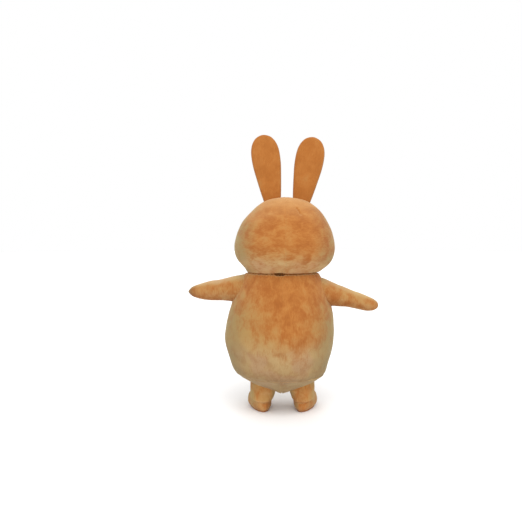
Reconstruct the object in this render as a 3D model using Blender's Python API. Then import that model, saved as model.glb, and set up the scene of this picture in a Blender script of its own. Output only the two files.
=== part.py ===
"""A rabbit mascot costume, as worn: a plush head, a one-piece body with sleeves and legs, and two overshoes.

Metres, +Z up. The wearer faces -Y, and the wearer's left is at +X.
The origin is the middle of the neck opening, where the wearer carries the costume.
Heights in the tables are above the floor that the soles stand on.
"""

import math
from collections import namedtuple

import bmesh
import bpy
from mathutils import Vector

# Driving sizes
SEAM_GAP = 0.0003
HEAD_WALL = 0.012
BODY_WALL = 0.008
LIMB_WALL = 0.006
SOLE_THICKNESS = 0.012
RIM_HEIGHT = 1.133
CROWN_HEIGHT = 1.752
ORIGIN_HEIGHT = 1.141

# How finely the walls are divided
QUADRANT_COLUMNS = 10
HEAD_ROWS = 14
BODY_ROWS = 14
COLLAR_ROWS = 1
SEAT_CENTRE_COLUMNS = 8
SEAT_ROWS = 4
ARM_COLUMNS = 8
ARM_ROWS = 11
LEG_COLUMNS = 20
LEG_ROWS = 4
FOOT_COLUMNS = 24
EAR_COLUMNS = 8
EAR_ROWS = 11

# A level of the head or the body: an oval, deeper or shallower in front than at the back
Ring = namedtuple("Ring", "height half_width back front centre_x")

HEAD_RINGS = [
    Ring(RIM_HEIGHT, 0.299, 0.247, 0.247, 0.000),
    Ring(1.160, 0.320, 0.269, 0.274, -0.012),
    Ring(1.195, 0.356, 0.303, 0.313, -0.021),
    Ring(1.235, 0.387, 0.333, 0.346, -0.020),
    Ring(1.285, 0.407, 0.352, 0.368, -0.018),
    Ring(1.350, 0.414, 0.362, 0.376, -0.017),
    Ring(1.415, 0.405, 0.357, 0.367, -0.017),
    Ring(1.480, 0.384, 0.340, 0.348, -0.020),
    Ring(1.547, 0.350, 0.311, 0.317, -0.021),
    Ring(1.613, 0.301, 0.269, 0.274, -0.027),
    Ring(1.679, 0.236, 0.212, 0.214, -0.030),
    Ring(1.728, 0.150, 0.135, 0.136, -0.030),
    Ring(CROWN_HEIGHT, 0.0, 0.0, 0.0, -0.030),
]

# The body below the neck ring, which is worked out from the head's rim
BODY_RINGS = [
    Ring(1.085, 0.318, 0.262, 0.266, 0.002),
    Ring(1.000, 0.357, 0.298, 0.312, 0.006),
    Ring(0.900, 0.394, 0.330, 0.356, 0.011),
    Ring(0.800, 0.427, 0.357, 0.391, 0.014),
    Ring(0.700, 0.444, 0.372, 0.412, 0.020),
    Ring(0.620, 0.449, 0.377, 0.418, 0.025),
    Ring(0.540, 0.440, 0.371, 0.411, 0.025),
    Ring(0.460, 0.421, 0.354, 0.390, 0.023),
    Ring(0.380, 0.397, 0.331, 0.359, 0.024),
    Ring(0.325, 0.374, 0.308, 0.328, 0.018),
    Ring(0.290, 0.348, 0.287, 0.303, 0.006),
]
COLLAR_TOP = Ring(1.180, 0.262, 0.212, 0.212, 0.000)

# The seat: the underside of the body, round the two leg holes
CROTCH_HEIGHT = 0.155
CROTCH_EASE = 2.2
LEG_HOLE_HEIGHT = 0.194
LEG_HOLE_RISE = 0.25
LEG_HOLE_INSET = 0.012
SEAT_SIDE_EASE = 0.85

# Sections of an arm in upright planes, out to the tip of the mitt.
# reach is the distance from the middle plane.
ArmSection = namedtuple("ArmSection", "reach centre_y height half_height half_depth")

ARM_LEFT = [
    ArmSection(0.270, 0.010, 1.004, 0.113, 0.104),
    ArmSection(0.350, 0.008, 1.002, 0.108, 0.100),
    ArmSection(0.418, 0.002, 0.998, 0.100, 0.094),
    ArmSection(0.517, -0.010, 0.984, 0.087, 0.082),
    ArmSection(0.595, -0.024, 0.979, 0.080, 0.072),
    ArmSection(0.660, -0.040, 0.972, 0.069, 0.061),
    ArmSection(0.722, -0.056, 0.968, 0.054, 0.049),
    ArmSection(0.766, -0.067, 0.966, 0.034, 0.033),
    ArmSection(0.791, -0.074, 0.965, 0.0, 0.0),
]
ARM_RIGHT = [
    ArmSection(0.250, 0.010, 0.986, 0.112, 0.104),
    ArmSection(0.330, 0.010, 0.974, 0.107, 0.100),
    ArmSection(0.393, 0.009, 0.960, 0.099, 0.094),
    ArmSection(0.470, 0.007, 0.939, 0.086, 0.083),
    ArmSection(0.545, 0.004, 0.920, 0.077, 0.074),
    ArmSection(0.620, 0.000, 0.897, 0.070, 0.067),
    ArmSection(0.692, -0.004, 0.877, 0.063, 0.060),
    ArmSection(0.748, -0.007, 0.865, 0.050, 0.048),
    ArmSection(0.782, -0.009, 0.860, 0.028, 0.028),
    ArmSection(0.794, -0.010, 0.859, 0.0, 0.0),
]

# Levels of a leg, by the share of its length down to the hem
LegLevel = namedtuple("LegLevel", "share centre_x radius")

LEG_LEVELS = [
    LegLevel(0.0, 0.150, 0.112),
    LegLevel(0.35, 0.155, 0.110),
    LegLevel(0.7, 0.163, 0.102),
    LegLevel(1.0, 0.170, 0.096),
]
LEG_TOP = 0.248
HEM_BACK_HEIGHT = 0.078
HEM_FRONT_HEIGHT = 0.146

# Levels of an overshoe along its own length, from the middle of the ankle towards the toe.
# rise is how much a level climbs towards the toe, per metre.
FootLevel = namedtuple("FootLevel", "height centre half_length half_width rise")

FOOT_LEVELS = [
    FootLevel(SOLE_THICKNESS + SEAM_GAP, 0.074, 0.166, 0.078, 0.0),
    FootLevel(0.032, 0.075, 0.177, 0.091, 0.0),
    FootLevel(0.058, 0.072, 0.172, 0.095, 0.02),
    FootLevel(0.082, 0.058, 0.153, 0.093, 0.12),
    FootLevel(0.100, 0.032, 0.119, 0.089, 0.26),
]
ANKLE_TOP = FootLevel(0.172, -0.004, 0.083, 0.083, 0.20)
FOOT_YAW = math.radians(14)
TOE_BREADTH = 0.3
SOLE_INSET = 0.004

# Levels of an ear along its own axis, from inside the head to the tip
EarLevel = namedtuple("EarLevel", "along half_width bulge")

EAR_LEVELS = [
    EarLevel(0.000, 0.068, 0.020),
    EarLevel(0.100, 0.086, 0.024),
    EarLevel(0.205, 0.102, 0.027),
    EarLevel(0.305, 0.115, 0.028),
    EarLevel(0.390, 0.118, 0.027),
    EarLevel(0.455, 0.111, 0.024),
    EarLevel(0.508, 0.090, 0.019),
    EarLevel(0.546, 0.055, 0.011),
    EarLevel(0.563, 0.0, 0.0),
]
Ear = namedtuple("Ear", "name side root_x root_height lean")

EARS = [
    Ear("left", 1, 0.111, 1.708, math.radians(8.6)),
    Ear("right", -1, 0.121, 1.694, math.radians(11.1)),
]
EAR_ROOT_Y = 0.012
EAR_ROUNDNESS = 0.6

# Where the wearer's side of the head carries its face, as angles round the head from its middle
EYE_HALF_SIZES = (0.034, 0.047, 0.018)
NOSE_HALF_SIZES = (0.034, 0.023, 0.018)
EYE_ANGLE = math.radians(23)
EYE_HEIGHT = 1.432
NOSE_HEIGHT = 1.352

# A stretch of the rim at the back stands off the body and shows a dark gap
RIM_LIFT = 0.011
RIM_LIFT_ANGLE = math.radians(84)
RIM_LIFT_SPREAD = math.radians(9)

PLUSH = (0.50, 0.178, 0.044)
EAR_PLUSH = (0.47, 0.160, 0.040)
EYE_BLACK = (0.012, 0.011, 0.010)
NOSE_BROWN = (0.055, 0.024, 0.014)
SOLE_TAN = (0.30, 0.120, 0.040)

QUARTER = math.pi / 2
WELD = 1e-6
SHARP_ANGLE = math.radians(38)


def clear_scene():
    for old in list(bpy.data.objects):
        bpy.data.objects.remove(old)


def make_collection(name, shown):
    collection = bpy.data.collections.new(name)
    bpy.context.scene.collection.children.link(collection)
    collection.hide_render = not shown
    return collection


def make_material(name, colour, roughness):
    material = bpy.data.materials.new(name)
    material.use_nodes = True
    shader = material.node_tree.nodes["Principled BSDF"]
    shader.inputs["Base Color"].default_value = (*colour, 1.0)
    shader.inputs["Roughness"].default_value = roughness
    shader.inputs["Metallic"].default_value = 0.0
    return material


# Smooth lines through the tables


def catmull_rom(before, start, end, after, t):
    """The point at t between start and end, on a smooth line through all four rows."""
    return [
        0.5 * (2 * b + (c - a) * t + (2 * a - 5 * b + 4 * c - d) * t * t + (3 * b - a - 3 * c + d) * t**3)
        for a, b, c, d in zip(before, start, end, after)
    ]


def mirrored(row, radii):
    """The row past a closed tip: the same place with its radii turned to the other side."""
    return [-value if name in radii else value for name, value in zip(row._fields, row)]


def smooth_line(rows, radii, steps=24):
    """Many rows on a smooth line through the table. It closes level where the radii come to nothing."""
    last_is_tip = rows[-1][rows[-1]._fields.index(radii[0])] == 0
    before = [2 * a - b for a, b in zip(rows[0], rows[1])]
    after = mirrored(rows[-2], radii) if last_is_tip else [2 * a - b for a, b in zip(rows[-1], rows[-2])]
    knots = [before, *rows, after]
    line = []
    for i in range(1, len(knots) - 2):
        for step in range(steps):
            line.append(catmull_rom(*knots[i - 1 : i + 3], step / steps))
    line.append(list(rows[-1]))
    kind = type(rows[0])
    return [kind(*values) for values in line]


def spaced(line, along, across, count):
    """count + 1 rows at even distances along a smooth line, measured on its two named columns."""
    places = [Vector((getattr(row, along), getattr(row, across))) for row in line]
    distances = [0.0]
    for a, b in zip(places, places[1:]):
        distances.append(distances[-1] + (b - a).length)
    kind, found, i = type(line[0]), [], 0
    for step in range(count):
        wanted = distances[-1] * step / count
        while i < len(line) - 2 and distances[i + 1] < wanted:
            i += 1
        share = (wanted - distances[i]) / (distances[i + 1] - distances[i])
        found.append(kind(*(a + (b - a) * share for a, b in zip(line[i], line[i + 1]))))
    return [*found, line[-1]]


def outward(rows, along, across):
    """The outward direction at each row, as its parts across and along the profile."""
    found = []
    for i, row in enumerate(rows):
        a, b = rows[max(i - 1, 0)], rows[min(i + 1, len(rows) - 1)]
        run = getattr(b, along) - getattr(a, along)
        spread = getattr(b, across) - getattr(a, across)
        direction = Vector((abs(run), -spread * math.copysign(1, run))).normalized()
        at_tip = getattr(row, across) == 0
        found.append(Vector((0.0, math.copysign(1, run))) if at_tip else direction)
    return found


# The surfaces


def ring_point(ring, normal, angle, inward):
    """A point of the head or the body, at an angle round it from +X and a depth inside its surface."""
    depth = ring.back if math.sin(angle) > 0 else ring.front
    return Vector(
        (
            ring.centre_x + (ring.half_width - inward * normal.x) * math.cos(angle),
            (depth - inward * normal.x) * math.sin(angle),
            ring.height - inward * normal.y - ORIGIN_HEIGHT,
        )
    )


def seam_shift(column, last, first_angle, last_angle, at_tip, half):
    """How far the edge of a panel draws back from its seam, half the gap on each side."""
    if at_tip:
        middle = (first_angle + last_angle) / 2
        reach = half / math.sin(min(last_angle - first_angle, math.pi) / 2)
        return Vector((math.cos(middle), math.sin(middle), 0)) * reach
    if column == 0:
        return Vector((-math.sin(first_angle), math.cos(first_angle), 0)) * half
    if column == last:
        return Vector((math.sin(last_angle), -math.cos(last_angle), 0)) * half
    return Vector((0, 0, 0))


def ring_grid(rings, normals, first_angle, last_angle, inward, gap=SEAM_GAP / 2):
    """Rows of points of a head or body panel between two seams."""
    columns = round(QUADRANT_COLUMNS * (last_angle - first_angle) / QUARTER)
    grid = []
    for ring, normal in zip(rings, normals):
        row = []
        for column in range(columns + 1):
            angle = first_angle + (last_angle - first_angle) * column / columns
            shift = seam_shift(column, columns, first_angle, last_angle, ring.half_width == 0, gap)
            row.append(ring_point(ring, normal, angle, inward) + shift)
        grid.append(row)
    return grid


def head_rings():
    line = smooth_line(HEAD_RINGS, ("half_width", "back", "front"))
    rings = spaced(line, "height", "half_width", HEAD_ROWS)
    return rings, outward(rings, "height", "half_width")


def lift_rim(grid, first_angle, last_angle):
    """Slides the rim up the head's surface where it stands off the body."""
    columns = len(grid[0]) - 1
    for column in range(columns + 1):
        angle = first_angle + (last_angle - first_angle) * column / columns
        share = math.exp(-(((angle - RIM_LIFT_ANGLE) / RIM_LIFT_SPREAD) ** 2))
        slide = grid[1][column] - grid[0][column]
        grid[0][column] += slide.normalized() * RIM_LIFT * share


def neck_ring():
    """The body's widest level inside the head's rim, one seam gap clear of it."""
    rings, normals = head_rings()
    rim, normal = rings[0], normals[0]
    across = HEAD_WALL * normal.x + SEAM_GAP
    return Ring(
        rim.height - HEAD_WALL * normal.y,
        rim.half_width - across,
        rim.back - across,
        rim.front - across,
        rim.centre_x,
    )


def body_rings():
    """The levels of the body from the top of the collar down to the seat seam."""
    neck = neck_ring()
    main = spaced(smooth_line([neck, *BODY_RINGS], ("half_width",)), "height", "half_width", BODY_ROWS)
    collar = [COLLAR_TOP, neck]
    rings = spaced(collar, "height", "half_width", COLLAR_ROWS)[:-1] + main
    return rings, outward(rings, "height", "half_width")


def arm_sections(rows):
    sections = spaced(smooth_line(rows, ("half_height", "half_depth")), "reach", "half_height", ARM_ROWS)
    return sections, outward(sections, "reach", "half_height")


def arm_grid(rows, side, first_angle, last_angle, inward, gap=SEAM_GAP / 2):
    """Rows of points round an arm. Angle 0 is the top seam, and a quarter turn is the back."""
    sections, normals = arm_sections(rows)
    columns = round(2 * ARM_COLUMNS * (last_angle - first_angle) / (4 * QUARTER))
    to_back = math.copysign(gap, math.sin((first_angle + last_angle) / 2)) if gap else 0.0
    grid = []
    for section, normal in zip(sections, normals):
        height = section.half_height - inward * normal.x
        depth = section.half_depth - inward * normal.x
        at_tip = section.half_height == 0
        row = []
        for column in range(columns + 1):
            angle = first_angle + (last_angle - first_angle) * column / columns
            at_seam = at_tip or column in (0, columns)
            row.append(
                Vector(
                    (
                        side * (section.reach - inward * normal.y),
                        section.centre_y + (0 if at_tip else depth * math.sin(angle)) + to_back * at_seam,
                        section.height + (0 if at_tip else height * math.cos(angle)) - ORIGIN_HEIGHT,
                    )
                )
            )
        grid.append(row)
    return grid


def leg_grid(side, inward, first_row=0, gap=SEAM_GAP / 2):
    """Rows of points round a leg, from the inseam round the back, the outside and the front.

    Row 0 is the leg's top edge, and rows before it carry on straight up.
    """
    levels = smooth_line(LEG_LEVELS, ("radius",))
    grid = []
    for row_number in range(first_row, LEG_ROWS + 1):
        share = row_number / LEG_ROWS
        level = levels[max(round(share * (len(levels) - 1)), 0)]
        row = []
        for column in range(LEG_COLUMNS + 1):
            angle = 4 * QUARTER * column / LEG_COLUMNS
            hem = (HEM_BACK_HEIGHT + HEM_FRONT_HEIGHT) / 2
            hem -= (HEM_FRONT_HEIGHT - HEM_BACK_HEIGHT) / 2 * math.sin(angle + FOOT_YAW)
            off_seam = gap if column == 0 else -gap if column == LEG_COLUMNS else 0.0
            row.append(
                Vector(
                    (
                        side * (level.centre_x - (level.radius - inward) * math.cos(angle)),
                        (level.radius - inward) * math.sin(angle) + off_seam,
                        LEG_TOP + (hem - LEG_TOP) * share - ORIGIN_HEIGHT,
                    )
                )
            )
        grid.append(row)
    return grid


def foot_levels():
    """The overshoe's levels. Its ankle is just inside the leg at the hem, and narrows above it."""
    ankle = (LEG_LEVELS[-1].radius - LIMB_WALL) * math.cos(math.pi / LEG_COLUMNS) - SEAM_GAP
    middle = (HEM_BACK_HEIGHT + HEM_FRONT_HEIGHT) / 2
    rise = (HEM_FRONT_HEIGHT - HEM_BACK_HEIGHT) / 2 / LEG_LEVELS[-1].radius
    return [*FOOT_LEVELS, FootLevel(middle, 0.0, ankle, ankle, rise), ANKLE_TOP]


def foot_point(side, level, angle):
    """A point of the overshoe's outside, from the heel seam round its outer side."""
    along = level.centre - level.half_length * math.cos(angle)
    breadth = 1 - TOE_BREADTH * math.cos(angle) * (1 - level.half_width / level.half_length)
    across = side * level.half_width * breadth * math.sin(angle)
    ankle_x = side * LEG_LEVELS[-1].centre_x
    return Vector(
        (
            ankle_x + across * math.cos(FOOT_YAW) + side * along * math.sin(FOOT_YAW),
            across * side * math.sin(FOOT_YAW) - along * math.cos(FOOT_YAW),
            level.height + level.rise * along - ORIGIN_HEIGHT,
        )
    )


def foot_grid(side):
    grid = []
    for level in foot_levels():
        row = [foot_point(side, level, 4 * QUARTER * c / FOOT_COLUMNS) for c in range(FOOT_COLUMNS + 1)]
        off_seam = Vector((math.cos(FOOT_YAW), side * math.sin(FOOT_YAW), 0)) * side * SEAM_GAP / 2
        row[0] += off_seam
        row[-1] -= off_seam
        grid.append(row)
    return grid


def slope_of(grid, row, column):
    """The direction square to a grid of points at one of them, from its neighbours."""
    up = grid[min(row + 1, len(grid) - 1)][column] - grid[max(row - 1, 0)][column]
    last = len(grid[0]) - 1
    wraps = (grid[row][0] - grid[row][last]).length < 2 * SEAM_GAP
    before = grid[row][(column - 1) % last if wraps else max(column - 1, 0)]
    after = grid[row][(column % last) + 1 if wraps else min(column + 1, last)]
    return (after - before).cross(up).normalized()


def foot_walls(side):
    """The outside and the inside of an overshoe's upper, whose lower edge is level."""
    outer = foot_grid(side)
    forward = Vector((side * math.sin(FOOT_YAW), -math.cos(FOOT_YAW), 0))
    inner = []
    for r, row in enumerate(outer):
        inner_row = []
        for c, point in enumerate(row):
            normal = slope_of(outer, r, c) * -side
            if r in (0, len(outer) - 1):
                normal.z = 0.0
            if c in (0, len(row) - 1):
                normal = forward * normal.dot(forward) + Vector((0, 0, normal.z))
            inner_row.append(point - normal.normalized() * LIMB_WALL)
        inner.append(inner_row)
    return outer, inner


def seat_edge(side):
    """The edge of half of the seat: along the body's lower seam, then back along the crotch seam.

    Each point has the direction out of the cloth there, or None along the crotch, where the surface gives it.
    """
    rings, normals = body_rings()
    seam, normal = rings[-1], normals[-1]
    down, inward = abs(normal.x) * SEAM_GAP, abs(normal.y) * SEAM_GAP
    seam = seam._replace(
        height=seam.height - down,
        half_width=seam.half_width - inward,
        back=seam.back - inward,
        front=seam.front - inward,
    )
    points, slopes = [], []
    first, last = -side * QUARTER, 2 * QUADRANT_COLUMNS
    for column in range(last + 1):
        angle = first + QUARTER * column / QUADRANT_COLUMNS
        off_crotch = Vector((side * SEAM_GAP / 2, 0, 0)) if column in (0, last) else Vector()
        points.append(ring_point(seam, normal, angle, 0) + off_crotch)
        slopes.append(Vector((normal.x * math.cos(angle), normal.x * math.sin(angle), normal.y)))
    start, end = points[-1], points[0]
    lowest = CROTCH_HEIGHT - ORIGIN_HEIGHT
    for step in range(1, SEAT_CENTRE_COLUMNS):
        y = start.y + (end.y - start.y) * step / SEAT_CENTRE_COLUMNS
        share = y / (start.y if y * start.y > 0 else end.y)
        points.append(Vector((start.x, y, lowest + (start.z - lowest) * share**CROTCH_EASE)))
        slopes.append(None)
    return points, slopes


def seat_outside(side, edge):
    """Rows of points from the seat's edge in to its leg hole. Each row closes on its first point."""
    leg = LEG_LEVELS[0]
    middle = Vector((side * leg.centre_x, 0, 0))
    rows = [[] for _ in range(SEAT_ROWS + 1)]
    for point in edge:
        out_of_hole = Vector((point.x - middle.x, point.y, 0)).normalized()
        hole = middle + out_of_hole * (leg.radius - LEG_HOLE_INSET)
        hole.z = LEG_HOLE_HEIGHT + LEG_HOLE_RISE * side * (hole.x - middle.x) - ORIGIN_HEIGHT
        for number, row in enumerate(rows):
            share = number / SEAT_ROWS
            between = point.lerp(hole, share)
            between.z = hole.z + (point.z - hole.z) * (1 - share) ** SEAT_SIDE_EASE
            row.append(between)
    return [[*row, row[0].copy()] for row in rows]


def seat_walls(side):
    """The outside and the inside of half of the seat."""
    edge, slopes = seat_edge(side)
    outer = seat_outside(side, edge)
    inner = []
    for r, row in enumerate(outer):
        inner_row = []
        for c, point in enumerate(row[:-1]):
            out = slope_of(outer, r, c)
            out *= -math.copysign(1, out.z)
            if r == 0 and slopes[c]:
                out = slopes[c].copy()
            if r == 0 and (not slopes[c] or c in (0, 2 * QUADRANT_COLUMNS)):
                out.x = 0.0
            inner_row.append(point - out.normalized() * BODY_WALL)
        inner.append([*inner_row, inner_row[0].copy()])
    return outer, inner


def ear_walls(ear, faces_back):
    """The outside and the inside of the back or the front of an ear, whose edges meet in one flat seam."""
    levels = spaced(smooth_line(EAR_LEVELS, ("half_width", "bulge")), "along", "half_width", EAR_ROWS)
    root_x = ear.side * ear.root_x + HEAD_RINGS[-1].centre_x
    root = Vector((root_x, EAR_ROOT_Y, ear.root_height - ORIGIN_HEIGHT))
    upward = Vector((ear.side * math.sin(ear.lean), 0, math.cos(ear.lean)))
    across = Vector((math.cos(ear.lean), 0, -ear.side * math.sin(ear.lean)))
    facing = Vector((0, 1 if faces_back else -1, 0))
    outer, inner = [], []
    for level in levels:
        middle = root + upward * level.along
        outer_row, inner_row = [], []
        for column in range(EAR_COLUMNS + 1):
            share = -math.cos(math.pi * column / EAR_COLUMNS)
            swell = level.bulge * max(1 - share * share, 0) ** EAR_ROUNDNESS
            seam = middle + across * level.half_width * share
            outer_row.append(seam + facing * (LIMB_WALL + SEAM_GAP / 2 + swell))
            inner_row.append(seam + facing * (SEAM_GAP / 2 + swell))
        outer.append(outer_row)
        inner.append(inner_row)
    return outer, inner


# Solids from the surfaces


def solid_mesh(name, grids, bridges, caps=()):
    """A mesh from grids of points, strips between pairs of edges, and flat caps, with equal points merged."""
    bm = bmesh.new()
    for grid in grids:
        for row in grid:
            for point in row:
                bm.verts.new(point)
    bm.verts.ensure_lookup_table()
    starts, count = [], 0
    for grid in grids:
        starts.append(count)
        count += len(grid) * len(grid[0])

    def vertex(g, row, column):
        return bm.verts[starts[g] + row * len(grids[g][0]) + column]

    corners = ((0, 0), (0, 1), (1, 1), (1, 0))
    for g, grid in enumerate(grids):
        for r in range(len(grid) - 1):
            for c in range(len(grid[0]) - 1):
                bm.faces.new([vertex(g, r + down, c + along) for down, along in corners])
    for one, other in bridges:
        for i in range(len(one) - 1):
            bm.faces.new((vertex(*one[i]), vertex(*one[i + 1]), vertex(*other[i + 1]), vertex(*other[i])))
    for cap in caps:
        bm.faces.new([vertex(*place) for place in cap])
    bmesh.ops.remove_doubles(bm, verts=bm.verts, dist=WELD)
    bmesh.ops.dissolve_degenerate(bm, edges=bm.edges, dist=WELD / 10)
    bmesh.ops.recalc_face_normals(bm, faces=bm.faces)
    mesh = bpy.data.meshes.new(name)
    bm.to_mesh(mesh)
    bm.free()
    return mesh


def place(name, mesh, collection, material=None):
    if material:
        mesh.materials.append(material)
    mesh.shade_smooth()
    mesh.set_sharp_from_angle(angle=SHARP_ANGLE)
    made = bpy.data.objects.new(name, mesh)
    collection.objects.link(made)
    return made


def wall(name, outer, inner, collection, material, closed=False):
    """A cloth wall between its outside and its inside, with an edge all round."""
    rows, columns = len(outer) - 1, len(outer[0]) - 1
    edges = [[(g, row, c) for c in range(columns + 1)] for row in (0, rows) for g in (0, 1)]
    bridges = [edges[:2], edges[2:]]
    if not closed:
        for column in (0, columns):
            bridges.append([[(g, r, column) for r in range(rows + 1)] for g in (0, 1)])
    return place(name, solid_mesh(name, [outer, inner], bridges), collection, material)


def envelope(name, grid, collection):
    """A closed solid that fills a surface, to cut its neighbours with."""
    columns = len(grid[0]) - 1
    caps = []
    for row in (0, len(grid) - 1):
        if (grid[row][0] - grid[row][columns // 2]).length > 10 * WELD:
            caps.append([(0, row, c) for c in range(columns)])
    made = place(name, solid_mesh(name, [grid], [], caps), collection)
    made.hide_render = True
    made.display_type = "WIRE"
    return made


def cut(target, cutter):
    modifier = target.modifiers.new(cutter.name, "BOOLEAN")
    modifier.operation = "DIFFERENCE"
    modifier.solver = "EXACT"
    modifier.object = cutter


# The pieces


def make_head(parts, cutters, plush):
    rings, normals = head_rings()
    quarters = [
        ("head_back_left", 0, QUARTER),
        ("head_back_right", QUARTER, 2 * QUARTER),
        ("head_front_right", 2 * QUARTER, 3 * QUARTER),
        ("head_front_left", 3 * QUARTER, 4 * QUARTER),
    ]
    for name, first, last in quarters:
        outer = ring_grid(rings, normals, first, last, 0)
        inner = ring_grid(rings, normals, first, last, HEAD_WALL)
        lift_rim(outer, first, last)
        lift_rim(inner, first, last)
        wall(name, outer, inner, parts, plush)
    return envelope("head_envelope", ring_grid(rings, normals, 0, 4 * QUARTER, -SEAM_GAP, 0), cutters)


def make_ears(parts, head, plush):
    for ear in EARS:
        for facing, faces_back in (("back", True), ("front", False)):
            outer, inner = ear_walls(ear, faces_back)
            cut(wall(f"ear_{ear.name}_{facing}", outer, inner, parts, plush), head)


def face_place(angle, height):
    """Where a line from the head's middle plane leaves its front, and the direction out of it."""
    rings, normals = head_rings()
    i = min(range(len(rings)), key=lambda k: abs(rings[k].height - height))
    i = i if rings[i].height <= height else i - 1
    share = (height - rings[i].height) / (rings[i + 1].height - rings[i].height)
    low, high = (ring_point(rings[k], normals[k], angle, 0) for k in (i, i + 1))
    beside = ring_point(rings[i], normals[i], angle + QUARTER / QUADRANT_COLUMNS, 0)
    return low.lerp(high, share), (beside - low).cross(high - low).normalized()


def make_features(parts, head, eye_material, nose_material):
    """The eyes and the nose: low domes seated on the face."""
    features = [
        ("eye_left", -QUARTER + EYE_ANGLE, EYE_HEIGHT, EYE_HALF_SIZES, eye_material),
        ("eye_right", -QUARTER - EYE_ANGLE, EYE_HEIGHT, EYE_HALF_SIZES, eye_material),
        ("nose", -QUARTER, NOSE_HEIGHT, NOSE_HALF_SIZES, nose_material),
    ]
    for name, angle, height, half_sizes, material in features:
        middle, outward_direction = face_place(angle, height)
        bm = bmesh.new()
        bmesh.ops.create_uvsphere(bm, u_segments=20, v_segments=10, radius=1.0)
        bmesh.ops.scale(bm, vec=half_sizes, verts=bm.verts)
        mesh = bpy.data.meshes.new(name)
        bm.to_mesh(mesh)
        bm.free()
        made = place(name, mesh, parts, material)
        made.location = middle
        made.rotation_euler = outward_direction.to_track_quat("Z", "Y").to_euler()
        cut(made, head)


def make_body(parts, cutters, plush):
    rings, normals = body_rings()
    arms = {1: ("left", ARM_LEFT), -1: ("right", ARM_RIGHT)}
    sleeves = {
        side: envelope(f"sleeve_{name}", arm_grid(rows, side, 0, 4 * QUARTER, -SEAM_GAP, 0), cutters)
        for side, (name, rows) in arms.items()
    }
    panels = [
        ("body_back_left", 0, QUARTER, (1,)),
        ("body_back_right", QUARTER, 2 * QUARTER, (-1,)),
        ("body_front", 2 * QUARTER, 4 * QUARTER, (1, -1)),
    ]
    for name, first, last, sides in panels:
        outer = ring_grid(rings, normals, first, last, 0)
        inner = ring_grid(rings, normals, first, last, BODY_WALL)
        panel = wall(name, outer, inner, parts, plush)
        for side in sides:
            cut(panel, sleeves[side])
    hollow = envelope("body_hollow", ring_grid(rings, normals, 0, 4 * QUARTER, BODY_WALL, 0), cutters)
    for side, (name, rows) in arms.items():
        for half, first in (("back", 0), ("front", 2 * QUARTER)):
            outer, inner = (arm_grid(rows, side, first, first + 2 * QUARTER, w) for w in (0, LIMB_WALL))
            cut(wall(f"arm_{name}_{half}", outer, inner, parts, plush), hollow)


def make_seat_and_legs(parts, cutters, plush):
    for name, side in (("left", 1), ("right", -1)):
        leg_hole = envelope(f"leg_hole_{name}", leg_grid(side, -SEAM_GAP, -2, 0), cutters)
        outer, inner = seat_walls(side)
        cut(wall(f"seat_{name}", outer, inner, parts, plush, closed=True), leg_hole)
        wall(f"leg_{name}", leg_grid(side, 0), leg_grid(side, LIMB_WALL), parts, plush)


def make_feet(parts, plush, sole_material):
    for name, side in (("left", 1), ("right", -1)):
        outer, inner = foot_walls(side)
        wall(f"foot_{name}", outer, inner, parts, plush)
        lowest = foot_levels()[0]
        half_length, half_width = lowest.half_length - SOLE_INSET, lowest.half_width - SOLE_INSET
        grid = []
        for height in (0.0, SOLE_THICKNESS):
            level = lowest._replace(height=height, half_length=half_length, half_width=half_width)
            angles = [4 * QUARTER * column / FOOT_COLUMNS for column in range(FOOT_COLUMNS + 1)]
            grid.append([foot_point(side, level, angle) for angle in angles])
        caps = [[(0, row, c) for c in range(FOOT_COLUMNS)] for row in (0, 1)]
        place(f"sole_{name}", solid_mesh(f"sole_{name}", [grid], [], caps), parts, sole_material)


def main():
    clear_scene()
    parts = make_collection("rabbit_costume", True)
    cutters = make_collection("cutters", False)
    plush = make_material("plush", PLUSH, 0.85)
    ear_plush = make_material("ear_plush", EAR_PLUSH, 0.85)
    eye_black = make_material("eye_black", EYE_BLACK, 0.30)
    nose_brown = make_material("nose_brown", NOSE_BROWN, 0.55)
    sole_tan = make_material("sole_tan", SOLE_TAN, 0.75)
    head = make_head(parts, cutters, plush)
    make_ears(parts, head, ear_plush)
    make_features(parts, head, eye_black, nose_brown)
    make_body(parts, cutters, plush)
    make_seat_and_legs(parts, cutters, plush)
    make_feet(parts, plush, sole_tan)


main()
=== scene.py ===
"""A rabbit mascot costume in its worn form, dressed in short-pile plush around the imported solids.

Metres, +Z up. The wearer faces -Y, and the photograph looks from behind, from +Y.
The tables repeat those of the part's own source, with heights above the floor.
"""

import math
from collections import namedtuple

import bmesh
import bpy
import numpy as np
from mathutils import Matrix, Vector, noise


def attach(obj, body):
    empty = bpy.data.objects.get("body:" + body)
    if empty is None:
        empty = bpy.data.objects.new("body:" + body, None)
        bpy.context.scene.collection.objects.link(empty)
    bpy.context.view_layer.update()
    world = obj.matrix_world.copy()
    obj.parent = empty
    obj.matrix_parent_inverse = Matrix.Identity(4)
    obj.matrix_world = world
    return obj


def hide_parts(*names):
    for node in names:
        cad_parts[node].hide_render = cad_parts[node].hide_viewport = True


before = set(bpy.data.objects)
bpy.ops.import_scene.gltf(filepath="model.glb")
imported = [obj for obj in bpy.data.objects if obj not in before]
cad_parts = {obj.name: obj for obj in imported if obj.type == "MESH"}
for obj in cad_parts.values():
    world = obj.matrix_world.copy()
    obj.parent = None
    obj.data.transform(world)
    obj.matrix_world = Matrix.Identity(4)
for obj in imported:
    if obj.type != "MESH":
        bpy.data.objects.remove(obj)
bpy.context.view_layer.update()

# Sizes shared with the solids
HEAD_WALL = 0.012
BODY_WALL = 0.008
LIMB_WALL = 0.006
SOLE_THICKNESS = 0.012
SEAM_GAP = 0.0003
RIM_HEIGHT = 1.133
CROWN_HEIGHT = 1.752
ORIGIN_HEIGHT = 1.141
HEAD_ROWS = 14
LEG_COLUMNS = 20

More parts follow.
